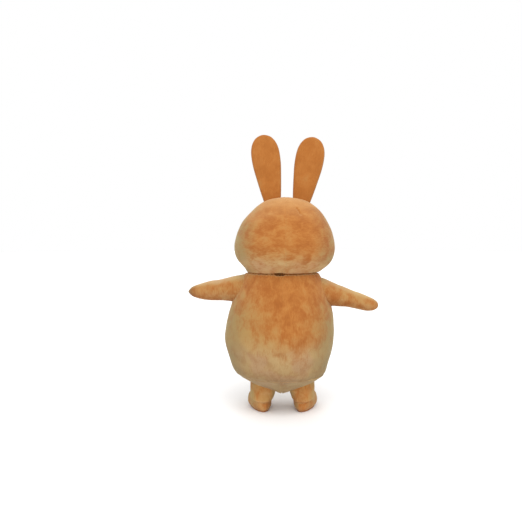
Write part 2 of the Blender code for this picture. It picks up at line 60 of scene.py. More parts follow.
Ring = namedtuple("Ring", "height half_width back front centre_x")

HEAD_RINGS = [
    Ring(RIM_HEIGHT, 0.299, 0.247, 0.247, 0.000),
    Ring(1.160, 0.320, 0.269, 0.274, -0.012),
    Ring(1.195, 0.356, 0.303, 0.313, -0.021),
    Ring(1.235, 0.387, 0.333, 0.346, -0.020),
    Ring(1.285, 0.407, 0.352, 0.368, -0.018),
    Ring(1.350, 0.414, 0.362, 0.376, -0.017),
    Ring(1.415, 0.405, 0.357, 0.367, -0.017),
    Ring(1.480, 0.384, 0.340, 0.348, -0.020),
    Ring(1.547, 0.350, 0.311, 0.317, -0.021),
    Ring(1.613, 0.301, 0.269, 0.274, -0.027),
    Ring(1.679, 0.236, 0.212, 0.214, -0.030),
    Ring(1.728, 0.150, 0.135, 0.136, -0.030),
    Ring(CROWN_HEIGHT, 0.0, 0.0, 0.0, -0.030),
]
BODY_RINGS = [
    Ring(1.085, 0.318, 0.262, 0.266, 0.002),
    Ring(1.000, 0.357, 0.298, 0.312, 0.006),
    Ring(0.900, 0.394, 0.330, 0.356, 0.011),
    Ring(0.800, 0.427, 0.357, 0.391, 0.014),
    Ring(0.700, 0.444, 0.372, 0.412, 0.020),
    Ring(0.620, 0.449, 0.377, 0.418, 0.025),
    Ring(0.540, 0.440, 0.371, 0.411, 0.025),
    Ring(0.460, 0.421, 0.354, 0.390, 0.023),
    Ring(0.380, 0.397, 0.331, 0.359, 0.024),
    Ring(0.325, 0.374, 0.308, 0.328, 0.018),
    Ring(0.290, 0.348, 0.287, 0.303, 0.006),
]
COLLAR_TOP = Ring(1.180, 0.262, 0.212, 0.212, 0.000)

CROTCH_HEIGHT = 0.155
CROTCH_EASE = 2.2
LEG_HOLE_HEIGHT = 0.194
LEG_HOLE_RISE = 0.25
LEG_HOLE_INSET = 0.012
SEAT_SIDE_EASE = 0.85
SEAT_ROUNDING = 5
ROUNDING_REACH = 6
ROUNDING_PASSES = 2

Section = namedtuple("Section", "reach centre_y height half_height half_depth")

ARM_LEFT = [
    Section(0.270, 0.010, 1.004, 0.113, 0.104),
    Section(0.350, 0.008, 1.002, 0.108, 0.100),
    Section(0.418, 0.002, 0.998, 0.100, 0.094),
    Section(0.517, -0.010, 0.984, 0.087, 0.082),
    Section(0.595, -0.024, 0.979, 0.080, 0.072),
    Section(0.660, -0.040, 0.972, 0.069, 0.061),
    Section(0.722, -0.056, 0.968, 0.054, 0.049),
    Section(0.766, -0.067, 0.966, 0.034, 0.033),
    Section(0.791, -0.074, 0.965, 0.0, 0.0),
]
ARM_RIGHT = [
    Section(0.250, 0.010, 0.986, 0.112, 0.104),
    Section(0.330, 0.010, 0.974, 0.107, 0.100),
    Section(0.393, 0.009, 0.960, 0.099, 0.094),
    Section(0.470, 0.007, 0.939, 0.086, 0.083),
    Section(0.545, 0.004, 0.920, 0.077, 0.074),
    Section(0.620, 0.000, 0.897, 0.070, 0.067),
    Section(0.692, -0.004, 0.877, 0.063, 0.060),
    Section(0.748, -0.007, 0.865, 0.050, 0.048),
    Section(0.782, -0.009, 0.860, 0.028, 0.028),
    Section(0.794, -0.010, 0.859, 0.0, 0.0),
]
ARMS = {1: ("left", ARM_LEFT), -1: ("right", ARM_RIGHT)}

LegLevel = namedtuple("LegLevel", "share centre_x radius")

LEG_LEVELS = [
    LegLevel(0.0, 0.150, 0.112),
    LegLevel(0.35, 0.155, 0.110),
    LegLevel(0.7, 0.163, 0.102),
    LegLevel(1.0, 0.170, 0.096),
]
LEG_TOP = 0.248
HEM_BACK_HEIGHT = 0.078
HEM_FRONT_HEIGHT = 0.146

FootLevel = namedtuple("FootLevel", "height centre half_length half_width rise")

FOOT_LEVELS = [
    FootLevel(SOLE_THICKNESS + SEAM_GAP, 0.074, 0.166, 0.078, 0.0),
    FootLevel(0.032, 0.075, 0.177, 0.091, 0.0),
    FootLevel(0.058, 0.072, 0.172, 0.095, 0.02),
    FootLevel(0.082, 0.058, 0.153, 0.093, 0.12),
    FootLevel(0.100, 0.032, 0.119, 0.089, 0.26),
]
ANKLE_TOP = FootLevel(0.172, -0.004, 0.083, 0.083, 0.20)
FOOT_YAW = math.radians(14)
TOE_BREADTH = 0.3
SOLE_INSET = 0.004

EarLevel = namedtuple("EarLevel", "along half_width bulge")

EAR_LEVELS = [
    EarLevel(0.000, 0.068, 0.020),
    EarLevel(0.100, 0.086, 0.024),
    EarLevel(0.205, 0.102, 0.027),
    EarLevel(0.305, 0.115, 0.028),
    EarLevel(0.390, 0.118, 0.027),
    EarLevel(0.455, 0.111, 0.024),
    EarLevel(0.508, 0.090, 0.019),
    EarLevel(0.546, 0.055, 0.011),
    EarLevel(0.563, 0.0, 0.0),
]
Ear = namedtuple("Ear", "name side root_x root_height lean")

EARS = [
    Ear("left", 1, 0.111, 1.708, math.radians(8.6)),
    Ear("right", -1, 0.121, 1.694, math.radians(11.1)),
]
EAR_ROOT_Y = 0.012
EAR_ROUNDNESS = 0.6

EYE_HALF_SIZES = (0.034, 0.047, 0.018)
NOSE_HALF_SIZES = (0.034, 0.023, 0.018)
EYE_ANGLE = math.radians(23)
EYE_HEIGHT = 1.432
NOSE_HEIGHT = 1.352

RIM_LIFT = 0.011
RIM_LIFT_ANGLE = math.radians(84)
RIM_LIFT_SPREAD = math.radians(9)

QUARTER = math.pi / 2
WELD = 1e-6
TINY = 1e-9

# How finely a smooth line and the collar are divided
LINE_STEPS = 60
COLLAR_STEPS = 20

# How closely points are drawn together towards the seams, where 0 spaces them evenly
SEAM_PULL = 0.7
LEG_PULL = 0.5
SLIGHT_PULL = 0.4

# Cloth: its points, and the direction out of it at each
Cloth = namedtuple("Cloth", "points out")


# Smooth lines through the tables


def smooth_line(rows, radii):
    """A smooth line through the rows, which closes level where the radii come to nothing."""
    names = rows[0]._fields
    table = np.array(rows, dtype=float)
    before = 2 * table[0] - table[1]
    if table[-1][names.index(radii[0])] == 0:
        after = table[-2] * [-1 if name in radii else 1 for name in names]
    else:
        after = 2 * table[-1] - table[-2]
    knots = np.vstack([before, table, after])
    t = np.linspace(0, 1, LINE_STEPS, endpoint=False)[:, None]
    spans = []
    for a, b, c, d in zip(knots[:-3], knots[1:-2], knots[2:-1], knots[3:]):
        bend = 2 * a - 5 * b + 4 * c - d
        twist = 3 * b - a - 3 * c + d
        spans.append(0.5 * (2 * b + (c - a) * t + bend * t**2 + twist * t**3))
    return np.vstack([*spans, table[-1:]])


def bunched(count, pull=SEAM_PULL):
    """Shares from 0 to 1, one more than the count, closer together near both ends."""
    t = np.linspace(0, 1, count + 1)
    return t - pull * np.sin(2 * np.pi * t) / (2 * np.pi)


def spaced(line, along, across, shares):
    """Rows of a table at the given shares of its length, measured on two of its columns."""
    steps = np.hypot(np.diff(line[:, along]), np.diff(line[:, across]))
    distance = np.concatenate([[0.0], np.cumsum(steps)])
    wanted = np.asarray(shares) * distance[-1]
    return np.stack([np.interp(wanted, distance, column) for column in line.T], axis=1)


def profile_normals(rows, along, across):
    """The outward direction at each row, as its parts across and along the profile."""
    run = np.gradient(rows[:, along])
    spread = np.gradient(rows[:, across])
    sign = np.sign(run.sum())
    across_part, along_part = np.abs(run), -spread * sign
    length = np.hypot(across_part, along_part)
    across_part, along_part = across_part / length, along_part / length
    if rows[-1, across] == 0:
        across_part[-1], along_part[-1] = 0.0, sign
    return across_part[:, None], along_part[:, None]


# The cloth's own surfaces


def round_cloth(rings, first, last, columns):
    """The stretch of the head or the body between two upright seams."""
    angles = first + (last - first) * bunched(columns)
    height, half_width, back, front, centre_x = (column[:, None] for column in rings.T)
    across, upward = profile_normals(rings, 0, 1)
    cos, sin = np.cos(angles)[None, :], np.sin(angles)[None, :]
    depth = np.where(sin > 0, back, front)
    flat = np.ones_like(cos)
    points = np.stack([centre_x + half_width * cos, depth * sin, (height - ORIGIN_HEIGHT) * flat], axis=2)
    out = np.stack([across * cos, across * sin, upward * flat], axis=2)
    return Cloth(points, out)


def head_line():
    return smooth_line(HEAD_RINGS, ("half_width", "back", "front"))


def neck_ring():
    """The body's level at the head's rim, one seam gap inside it, as the solids have it."""
    rows = spaced(head_line(), 0, 1, np.linspace(0, 1, HEAD_ROWS + 1))
    run, spread = rows[1, 0] - rows[0, 0], rows[1, 1] - rows[0, 1]
    across, upward = run / math.hypot(run, spread), -spread / math.hypot(run, spread)
    draw_in = HEAD_WALL * across + SEAM_GAP
    height, half_width, back, front, centre_x = rows[0]
    return Ring(height - HEAD_WALL * upward, half_width - draw_in, back - draw_in, front - draw_in, centre_x)


def body_line():
    """The body's fine table, from the top of the collar down to the seat seam."""
    neck = neck_ring()
    collar = np.linspace(COLLAR_TOP, neck, COLLAR_STEPS)[:-1]
    return np.vstack([collar, smooth_line([neck, *BODY_RINGS], ("half_width",))])


def arm_cloth(rows, side, first, last, length_rows, columns):
    """The stretch of a sleeve and mitt between its top and bottom seams. Angle 0 is the top."""
    line = smooth_line(rows, ("half_height", "half_depth"))
    sections = spaced(line, 0, 3, np.linspace(0, 1, length_rows + 1))
    reach, centre_y, height, half_height, half_depth = (column[:, None] for column in sections.T)
    across, outward = profile_normals(sections, 0, 3)
    angles = first + (last - first) * bunched(columns)
    cos, sin = np.cos(angles)[None, :], np.sin(angles)[None, :]
    flat = np.ones_like(cos)
    z = height - ORIGIN_HEIGHT + half_height * cos
    points = np.stack([side * reach * flat, centre_y + half_depth * sin, z], axis=2)
    out = np.stack([side * outward * flat, across * sin, across * cos], axis=2)
    return Cloth(points, out)


def leg_cloth(side, rows, columns):
    """A leg from its top down to its hem, round from the inseam by the back, outside and front."""
    line = smooth_line(LEG_LEVELS, ("radius",))
    middle = (HEM_BACK_HEIGHT + HEM_FRONT_HEIGHT) / 2
    share = np.linspace(0, 1 - LIMB_WALL / 2 / (LEG_TOP - middle), rows + 1)[:, None]
    centre_x, radius = (np.interp(share, line[:, 0], line[:, k]) for k in (1, 2))
    angles = (4 * QUARTER * bunched(columns, LEG_PULL))[None, :]
    hem = middle - (HEM_FRONT_HEIGHT - HEM_BACK_HEIGHT) / 2 * np.sin(angles + FOOT_YAW)
    cos, sin = np.cos(angles), np.sin(angles)
    x = side * (centre_x - radius * cos)
    z = LEG_TOP + (hem - LEG_TOP) * share - ORIGIN_HEIGHT
    points = np.stack([x, radius * sin, z], axis=2)
    out = np.stack([-side * cos, sin, 0 * cos], axis=2) * np.ones_like(points)
    return Cloth(points, out)


def foot_line():
    """The overshoe's fine table, from the sole to inside the leg."""
    ankle = (LEG_LEVELS[-1].radius - LIMB_WALL) * math.cos(math.pi / LEG_COLUMNS) - SEAM_GAP
    middle = (HEM_BACK_HEIGHT + HEM_FRONT_HEIGHT) / 2
    rise = (HEM_FRONT_HEIGHT - HEM_BACK_HEIGHT) / 2 / LEG_LEVELS[-1].radius
    hem = FootLevel(middle, 0.0, ankle, ankle, rise)
    return smooth_line([*FOOT_LEVELS, hem, ANKLE_TOP], ("rise",))


def foot_points(side, levels, columns):
    """Points of the overshoe's outside, each level from the heel seam round its outer side."""
    height, centre, half_length, half_width, rise = (column[:, None] for column in levels.T)
    angles = (4 * QUARTER * bunched(columns, SLIGHT_PULL))[None, :]
    along = centre - half_length * np.cos(angles)
    breadth = 1 - TOE_BREADTH * np.cos(angles) * (1 - half_width / half_length)
    across = side * half_width * breadth * np.sin(angles)
    ankle_x = side * LEG_LEVELS[-1].centre_x
    cos, sin = math.cos(FOOT_YAW), math.sin(FOOT_YAW)
    x = ankle_x + across * cos + side * along * sin
    y = across * side * sin - along * cos
    return np.stack([x, y, height + rise * along - ORIGIN_HEIGHT], axis=2)


def unit(vectors):
    """The same directions, of length 1."""
    return vectors / np.maximum(np.linalg.norm(vectors, axis=-1, keepdims=True), TINY)


def grid_normals(points, wraps):
    """The direction square to a grid of points, which the caller turns outward."""
    down = np.gradient(points, axis=0)
    if wraps:
        ring = np.concatenate([points[:, -2:-1], points, points[:, 1:2]], axis=1)
        along = ring[:, 2:] - ring[:, :-2]
    else:
        along = np.gradient(points, axis=1)
    return unit(np.cross(along, down))


def seat_edge(side, columns):
    """Half the seat's outer edge, along the body's lower seam and then the crotch seam."""
    height, half_width, back, front, centre_x = body_line()[-1]
    angles = side * (-QUARTER + 2 * QUARTER * np.linspace(0, 1, columns + 1))
    depth = np.where(np.sin(angles) > 0, back, front)
    x = centre_x + side * half_width * np.cos(angles)
    along_body = np.stack([x, depth * np.sin(angles), np.full_like(angles, height)], axis=1)
    start, end = along_body[-1], along_body[0]
    y = np.linspace(start[1], end[1], columns + 1)[1:]
    share = y / np.where(y * start[1] > 0, start[1], end[1])
    z = CROTCH_HEIGHT + (height - CROTCH_HEIGHT) * np.abs(share) ** CROTCH_EASE
    along_crotch = np.stack([np.full_like(y, start[0]), y, z], axis=1)
    return np.vstack([along_body, along_crotch])


def seat_cloth(side, rows, columns):
    """Half of the seat, from the body's lower seam and the crotch seam in to its leg hole."""
    edge = seat_edge(side, columns)
    leg = LEG_LEVELS[0]
    middle = np.array([side * leg.centre_x, 0.0])
    away = unit(edge[:, :2] - middle)
    hole = np.zeros_like(edge)
    hole[:, :2] = middle + away * (leg.radius - LEG_HOLE_INSET)
    hole[:, 2] = LEG_HOLE_HEIGHT + LEG_HOLE_RISE * side * (hole[:, 0] - middle[0])
    share = bunched(rows, SLIGHT_PULL)[:, None, None]
    points = edge + (hole - edge) * share
    points[:, :, 2] = hole[:, 2] + (edge[:, 2] - hole[:, 2]) * (1 - share[:, :, 0]) ** SEAT_SIDE_EASE
    points[:, :, 2] -= ORIGIN_HEIGHT
    points = rounded_rows(points, 1 - (1 - share) ** SEAT_ROUNDING)
    out = grid_normals(points, True)
    out *= -np.sign(out[:, :, 2:3])
    return Cloth(points, out)


def rounded_rows(points, weight):
    """Closed rows with their corners rounded off, each row by its own weight."""
    ring = points[:, :-1]
    soft = ring
    steps = range(-ROUNDING_REACH, ROUNDING_REACH + 1)
    for _ in range(ROUNDING_PASSES):
        soft = sum(np.roll(soft, step, axis=1) for step in steps) / len(steps)
    ring = ring + (soft - ring) * weight
    return np.concatenate([ring, ring[:, :1]], axis=1)


def ear_cloth(ear, faces_back, rows, columns):
    """The inside of the back or the front of an ear. The cloth stands out from it."""
    line = smooth_line(EAR_LEVELS, ("half_width", "bulge"))
    levels = spaced(line, 0, 1, np.linspace(0, 1, rows + 1))
    along, half_width, bulge = (column[:, None] for column in levels.T)
    share = -np.cos(np.pi * np.linspace(0, 1, columns + 1))[None, :]
    swell = bulge * np.maximum(1 - share**2, 0) ** EAR_ROUNDNESS
    upward = np.array([ear.side * math.sin(ear.lean), 0, math.cos(ear.lean)])
    across = np.array([math.cos(ear.lean), 0, -ear.side * math.sin(ear.lean)])
    facing = np.array([0, 1 if faces_back else -1, 0])
    root_x = ear.side * ear.root_x + HEAD_RINGS[-1].centre_x
    root = np.array([root_x, EAR_ROOT_Y, ear.root_height - ORIGIN_HEIGHT])
    points = root + along[..., None] * upward
    points = points + (half_width * share)[..., None] * across + swell[..., None] * facing
    return Cloth(points, np.ones_like(points) * facing)


# Soft relief on the cloth, in metres outward

Valley = namedtuple("Valley", "depth reach")
Lumps = namedtuple("Lumps", "height spacing seed")
Wave = namedtuple("Wave", "count height phase")

BODY_SEAM = Valley(0.003, 0.007)
HEAD_SEAM = Valley(0.0018, 0.006)
SLEEVE_SEAM = Valley(0.0025, 0.006)
LEG_SEAM = Valley(0.0028, 0.006)
RIM_VALLEY = Valley(0.003, 0.008)
ARMHOLE_SEAM = Valley(0.0018, 0.007)
LEG_HOLE_SEAM = Valley(0.005, 0.010)
LEG_HEM_VALLEY = Valley(0.0015, 0.005)
SOLE_SEAM = Valley(0.003, 0.006)
BODY_TUCK = Valley(0.006, 0.024)
SEAT_TUCK = Valley(0.003, 0.017)
NECK_GROOVE = Valley(0.013, 0.0075)
EAR_CREASE = Valley(0.008, 0.006)
CREASE_ENDS = ((-0.115, 0.510), (-0.143, 0.462))

HEAD_LUMPS = Lumps(0.004, 0.19, 0.0)
EAR_LUMPS = Lumps(0.002, 0.09, 3.0)
BODY_LUMPS = Lumps(0.005, 0.2, 5.0)
SLEEVE_LUMPS = Lumps(0.003, 0.1, 7.0)
SEAT_LUMPS = Lumps(0.002, 0.1, 9.0)
LEG_LUMPS = Lumps(0.003, 0.07, 11.0)
FOOT_LUMPS = Lumps(0.002, 0.07, 15.0)
FINE_LUMP_SCALE = 2.7
FINE_LUMP_SHARE = 0.4

# Near the crown, a mitt's tip and a sole the relief fades out over this length
BLUNT = 0.03

ARMHOLE_FLARE = 0.007
ARMHOLE_FLARE_REACH = 0.035
ARMPIT_FOLDS = 7
ARMPIT_FOLD_HEIGHT = 0.0045
ARMPIT_SPREAD = 1.1
ARMPIT_REACH = 0.05
ARMPIT_LIMIT = 0.3
BEYOND_SLEEVES = 1.0

CROTCH_SAG = 0.018
CROTCH_SPREAD = 0.09
CROTCH_LENGTH = 0.13

# Where the body goes up into the head and gathers, in heights from the origin
NECK_LINE = -0.007
PUCKER_TOP = -0.008
PUCKER_FALL = 0.045
PUCKER_LIMIT = 0.03
PUCKERS = (Wave(46, 0.0016, 0.0), Wave(29, 0.0012, 1.0))
NECK_HOLLOW = 0.042
NECK_HOLLOW_PLACE = 0.004
NECK_HOLLOW_RISE = 0.016
NECK_HOLLOW_SPREAD = 0.9 * RIM_LIFT_SPREAD
GATHERS = (Wave(31, 0.0008, 0.6), Wave(53, 0.00056, 2.0))
GATHER_REACH = 0.06


def lengths(points, axis):
    """Each point's distance from both ends of its row (axis 1) or column (axis 0)."""
    steps = np.linalg.norm(np.diff(points, axis=axis), axis=2)
    start = np.zeros_like(points[:, :1, 0] if axis else points[:1, :, 0])
    from_first = np.concatenate([start, np.cumsum(steps, axis=axis)], axis=axis)
    total = from_first[:, -1:] if axis else from_first[-1:, :]
    return from_first, total - from_first


def from_sides(points):
    """Each point's distance from the nearer end of its row, where the seams are."""
    return np.minimum(*lengths(points, 1))


def dip(distance, valley):
    """A soft valley where the distance to a seam is small."""
    return -valley.depth * np.exp(-((distance / valley.reach) ** 2))


def lumps(points, kind, side=0):
    """The slight unevenness of plush over foam."""
    seed = kind.seed + side
    offset = Vector((seed, 2 * seed, -seed))
    values = []
    for spot in (points.reshape(-1, 3) / kind.spacing).tolist():
        coarse = noise.noise(Vector(spot) + offset)
        fine = noise.noise(FINE_LUMP_SCALE * Vector(spot) - offset)
        values.append(coarse + FINE_LUMP_SHARE * fine)
    return kind.height * np.array(values).reshape(points.shape[:2])


def waves(angles, kinds):
    """Small gathers, so many of each kind in a whole turn."""
    return sum(kind.height * np.sin(kind.count * angles + kind.phase) for kind in kinds)


def sleeve_distance(points, side):
    """How far each point is from a sleeve's surface, and its angle round the sleeve."""
    table = np.array(ARMS[side][1])
    reach = side * points[:, :, 0]
    sizes = (np.interp(reach, table[:, 0], table[:, k]) for k in range(1, 5))
    centre_y, height, half_height, half_depth = sizes
    up = (points[:, :, 2] + ORIGIN_HEIGHT - height) / np.maximum(half_height, WELD)
    back = (points[:, :, 1] - centre_y) / np.maximum(half_depth, WELD)
    distance = (np.hypot(up, back) - 1) * (half_height + half_depth) / 2
    return np.where(reach > table[0, 0], distance, BEYOND_SLEEVES), np.arctan2(back, up)


def body_distance(points):
    """How far each point is outside the body's surface, measured level."""
    line = body_line()[::-1]
    height = points[:, :, 2] + ORIGIN_HEIGHT
    half_width, back, front, centre_x = (np.interp(height, line[:, 0], line[:, k]) for k in range(1, 5))
    across = (points[:, :, 0] - centre_x) / half_width
    depth = points[:, :, 1] / np.where(points[:, :, 1] > 0, back, front)
    return (np.hypot(across, depth) - 1) * half_width


def armhole(distance):
    """The cloth's slight rise towards an armhole seam, and the seam's own valley."""
    clear = np.maximum(distance, 0)
    return ARMHOLE_FLARE * np.exp(-clear / ARMHOLE_FLARE_REACH) + dip(clear, ARMHOLE_SEAM)


def armpit_folds(distance, around):
    """Short soft folds that run out from under the arm."""
    under = np.abs(np.abs(around) - math.pi)
    rays = ARMPIT_FOLD_HEIGHT * np.cos(ARMPIT_FOLDS * around) * (distance < ARMPIT_LIMIT)
    return rays * np.exp(-((under / ARMPIT_SPREAD) ** 2)) * np.exp(-np.maximum(distance, 0) / ARMPIT_REACH)


def sleeve_relief(points, side):
    """A sleeve's own swell, apart from its seams."""
    fade = np.clip(lengths(points, 0)[1] / BLUNT, 0, 1)
    return armhole(body_distance(points)) + lumps(points, SLEEVE_LUMPS, side) * fade


def neck_puckers(points):
    """The gathers, groove and hollow where the body goes up into the head."""
    height = points[:, :, 2]
    angles = np.arctan2(points[:, :, 1], points[:, :, 0])
    fade = np.exp(-((np.minimum(height - PUCKER_TOP, 0) / PUCKER_FALL) ** 2)) * (height < PUCKER_LIMIT)
    hollow = -NECK_HOLLOW * np.exp(-(((angles - RIM_LIFT_ANGLE) / NECK_HOLLOW_SPREAD) ** 4))
    hollow *= np.exp(-(((height - NECK_HOLLOW_PLACE) / NECK_HOLLOW_RISE) ** 2))
    return waves(angles, PUCKERS) * fade + hollow + dip(height - NECK_LINE, NECK_GROOVE)


def hem_gathers(points, from_bottom):
    """The faint upright folds where the body is drawn in to the seat."""
    angles = np.arctan2(points[:, :, 1], points[:, :, 0])
    return waves(angles, GATHERS) * np.exp(-from_bottom / GATHER_REACH)


def crotch_sag(points):
    """The slight sag of the seat's middle between the legs."""
    across = (points[:, :, 0] / CROTCH_SPREAD) ** 2
    along = (points[:, :, 1] / CROTCH_LENGTH) ** 2
    return CROTCH_SAG * np.exp(-across - along)


def ear_crease(points):
    """The short fold that the right ear presses into the back of the head."""
    (x0, z0), (x1, z1) = CREASE_ENDS
    run, drop = x1 - x0, z1 - z0
    across, up = points[:, :, 0] - x0, points[:, :, 2] - z0
    along = np.clip((across * run + up * drop) / (run**2 + drop**2), 0, 1)
    distance = np.hypot(across - along * run, up - along * drop)
    return dip(distance, EAR_CREASE) * (points[:, :, 1] > 0)


# Solid cloth from its surface

ROLL_STEPS = 5
SHARP_ANGLE = math.radians(50)


def cloth_mesh(name, outer, inner, closed, first_roll, last_roll):
    """A closed wall between two grids, rounded over at a rolled end and square at any other."""
    rings = list(outer)
    if last_roll:
        rings += roll(outer[-1], inner[-1], outer[-1] - outer[-2])
    last_inner = len(rings)
    rings += list(inner[::-1])
    if first_roll:
        rings += roll(inner[0], outer[0], outer[0] - outer[1])
    grid = np.array(rings)
    here = np.arange(grid.shape[0] * grid.shape[1]).reshape(grid.shape[:2])
    after = np.roll(here, -1, axis=0)
    quads = np.stack([here[:, :-1], here[:, 1:], after[:, 1:], after[:, :-1]], axis=2)
    faces = quads.reshape(-1, 4).tolist()
    if not closed:
        for column in (here[:, 0], here[:, -1]):
            faces += side_faces(column.tolist(), len(outer), last_inner)
    return closed_mesh(name, grid.reshape(-1, 3), faces)


def side_faces(column, rows, last_inner):
    """The faces that close a side of a wall, whose points are in order round the wall."""
    first_inner = last_inner + rows - 1
    faces = []
    for row in range(rows - 1):
        faces.append([column[row], column[row + 1], column[first_inner - row - 1], column[first_inner - row]])
    if last_inner > rows:
        faces.append(column[rows - 1 : last_inner + 1])
    if len(column) > first_inner + 1:
        faces.append([*column[first_inner:], column[0]])
    return faces


def roll(start, end, onward):
    """Rows that round over from one edge to the other."""
    onward = unit(onward)
    middle, arm = (start + end) / 2, (start - end) / 2
    reach = np.linalg.norm(arm, axis=1, keepdims=True)
    turns = np.pi * np.arange(1, ROLL_STEPS + 1) / (ROLL_STEPS + 1)
    return [middle + arm * math.cos(turn) + onward * reach * math.sin(turn) for turn in turns]


def closed_mesh(name, points, faces):
    """A closed mesh with its doubled points joined and its faces turned outward."""
    mesh = bpy.data.meshes.new(name)
    mesh.from_pydata(points.tolist(), [], faces)
    bm = bmesh.new()
    bm.from_mesh(mesh)
    bmesh.ops.remove_doubles(bm, verts=bm.verts, dist=WELD)
    bmesh.ops.dissolve_degenerate(bm, edges=bm.edges, dist=WELD / 10)
    bmesh.ops.recalc_face_normals(bm, faces=bm.faces)
    if bm.calc_volume(signed=True) < 0:
        bmesh.ops.reverse_faces(bm, faces=bm.faces)
    bm.to_mesh(mesh)
    bm.free()
    return mesh


def solid_mesh(name, points):
    """A closed solid inside closed rows of points."""
    rows, columns = points.shape[:2]
    index = np.arange(rows * columns).reshape(rows, columns)
    quads = np.stack([index[:-1, :-1], index[:-1, 1:], index[1:, 1:], index[1:, :-1]], axis=2)
    caps = [index[row, :-1].tolist() for row in (0, rows - 1)]
    return closed_mesh(name, points.reshape(-1, 3), [*quads.reshape(-1, 4).tolist(), *caps])


def new_object(name, data):
    """An object in the scene."""
    made = bpy.data.objects.new(name, data)
    bpy.context.scene.collection.objects.link(made)
    return made


def cutter_from(name, points):
    """A solid used to trim other pieces and then thrown away."""
    return new_object(name, solid_mesh(name, points))


def whole_cloth(line):
    """All of the head or the body in one, for a cutter."""
    rows, columns = CUTTER_MESH
    return round_cloth(spaced(line, 0, 1, np.linspace(0, 1, rows + 1)), 0, 4 * QUARTER, columns)


def trim(piece, cutter):
    """Cuts a piece with a closed solid, for good."""
    modifier = piece.modifiers.new("trim", "BOOLEAN")
    modifier.operation = "DIFFERENCE"
    modifier.solver = "EXACT"
    modifier.object = cutter
    with bpy.context.temp_override(object=piece):
        bpy.ops.object.modifier_apply(modifier="trim")


def place(name, mesh, material, node):
    """A finished piece that rides with the part and stands for one of its solids."""
    mesh.materials.append(material)
    mesh.shade_smooth()
    mesh.set_sharp_from_angle(angle=SHARP_ANGLE)
    piece = new_object(name, mesh)
    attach(piece, "root")
    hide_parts(node)
    return piece


def sew(
    node, cloth, relief, wall, material,
    closed=False, first_roll=False, last_roll=False, cut_by=(),
):
    """A finished panel of cloth in the place of its solid."""
    outer = cloth.points + cloth.out * relief[..., None]
    inner = cloth.points + cloth.out * (np.minimum(relief, 0) - wall)[..., None]
    mesh = cloth_mesh(node, outer, inner, closed, first_roll, last_roll)
    piece = place(f"{node}_cloth", mesh, material, node)
    for cutter in cut_by:
        trim(piece, cutter)


# Materials

# A noise, in its node's own words. Its scale is for a metre.
Texture = namedtuple("Texture", "Scale Detail Roughness Distortion")


class Shading:
    """A material, with short ways to add nodes to it."""

    def __init__(self, name):
        self.material = bpy.data.materials.new(name)
        self.material.use_nodes = True
        self.tree = self.material.node_tree

    def feed(self, node, inputs):
        """Links a node's inputs, or sets them to numbers or colours."""
        for key, value in inputs.items():
            if isinstance(value, bpy.types.NodeSocket):
                self.tree.links.new(value, node.inputs[key])
            elif isinstance(value, tuple):
                node.inputs[key].default_value = (*value, 1.0)
            else:
                node.inputs[key].default_value = value

    def shader(self, inputs):
        self.feed(self.tree.nodes["Principled BSDF"], inputs)

    def new(self, kind, inputs, **settings):
        node = self.tree.nodes.new(kind)
        for key, value in settings.items():
            setattr(node, key, value)
        self.feed(node, inputs)
        return node

    def coordinates(self, kind):
        return self.new("ShaderNodeTexCoord", {}).outputs[kind]

    def split(self, vector):
        """The X, Y and Z of a vector."""
        return self.new("ShaderNodeSeparateXYZ", {"Vector": vector}).outputs

    def noise(self, texture, stretch=(1, 1, 1)):
        """A noise over the object's own metres, finer along an axis with a stretch over 1."""
        mapping = self.new("ShaderNodeMapping", {"Vector": self.coordinates("Object")})
        mapping.inputs["Scale"].default_value = stretch
        inputs = {"Vector": mapping.outputs["Vector"], **texture._asdict()}
        return self.new("ShaderNodeTexNoise", inputs).outputs["Fac"]

    def ranged(self, value, start, end, to_start=0.0, to_end=1.0, evenly=False):
        """A value carried from one range to another, smoothly or evenly, and held at its ends."""
        way = "LINEAR" if evenly else "SMOOTHSTEP"
        inputs = {"Value": value, "From Min": start, "From Max": end, "To Min": to_start, "To Max": to_end}
        return self.new("ShaderNodeMapRange", inputs, interpolation_type=way).outputs["Result"]

    def math(self, operation, *values):
        node = self.new("ShaderNodeMath", dict(enumerate(values)), operation=operation)
        return node.outputs["Value"]

    def weighed(self, *terms):
        """The sum of values, each times its weight."""
        total, *parts = (self.math("MULTIPLY", value, weight) for value, weight in terms)
        for part in parts:
            total = self.math("ADD", total, part)
        return total

    def blend(self, factor, low, high):
        inputs = {"Factor": factor, "A": low, "B": high}
        return self.new("ShaderNodeMix", inputs, data_type="RGBA").outputs["Result"]

    def tinted(self, colour, brightness):
        inputs = {0: colour, "Scale": brightness}
        return self.new("ShaderNodeVectorMath", inputs, operation="SCALE").outputs["Vector"]

    def bump(self, height, strength, distance):
        inputs = {"Height": height, "Strength": strength, "Distance": distance}
        return self.new("ShaderNodeBump", inputs).outputs["Normal"]


# Plush colours, in linear light. With the pile it is deep tan to tan. Brushed the other way it is khaki where
# it stands upright, pale or rosy where it is low or slopes, and duller at the sides: painted sheen, light and
# shade that follow the way it faces. On top it is lightest: painted light from above. The ears have two tans
# of their own.
DEEP_TAN = (0.350, 0.113, 0.023)
TAN = (0.430, 0.165, 0.038)
KHAKI = (0.362, 0.210, 0.070)
PALE_TAN = (0.466, 0.306, 0.138)
ROSY_TAN = (0.462, 0.287, 0.146)
# Painted sheen and shade: the duller tan at the sides.
SIDE_SHEEN_TAN = (0.322, 0.218, 0.084)
# Painted light from above: the lightest tan, where the plush faces up.
LIT_TOP_TAN = (0.540, 0.280, 0.102)
EAR_DEEP = (0.388, 0.130, 0.025)
EAR_TAN = (0.428, 0.154, 0.033)
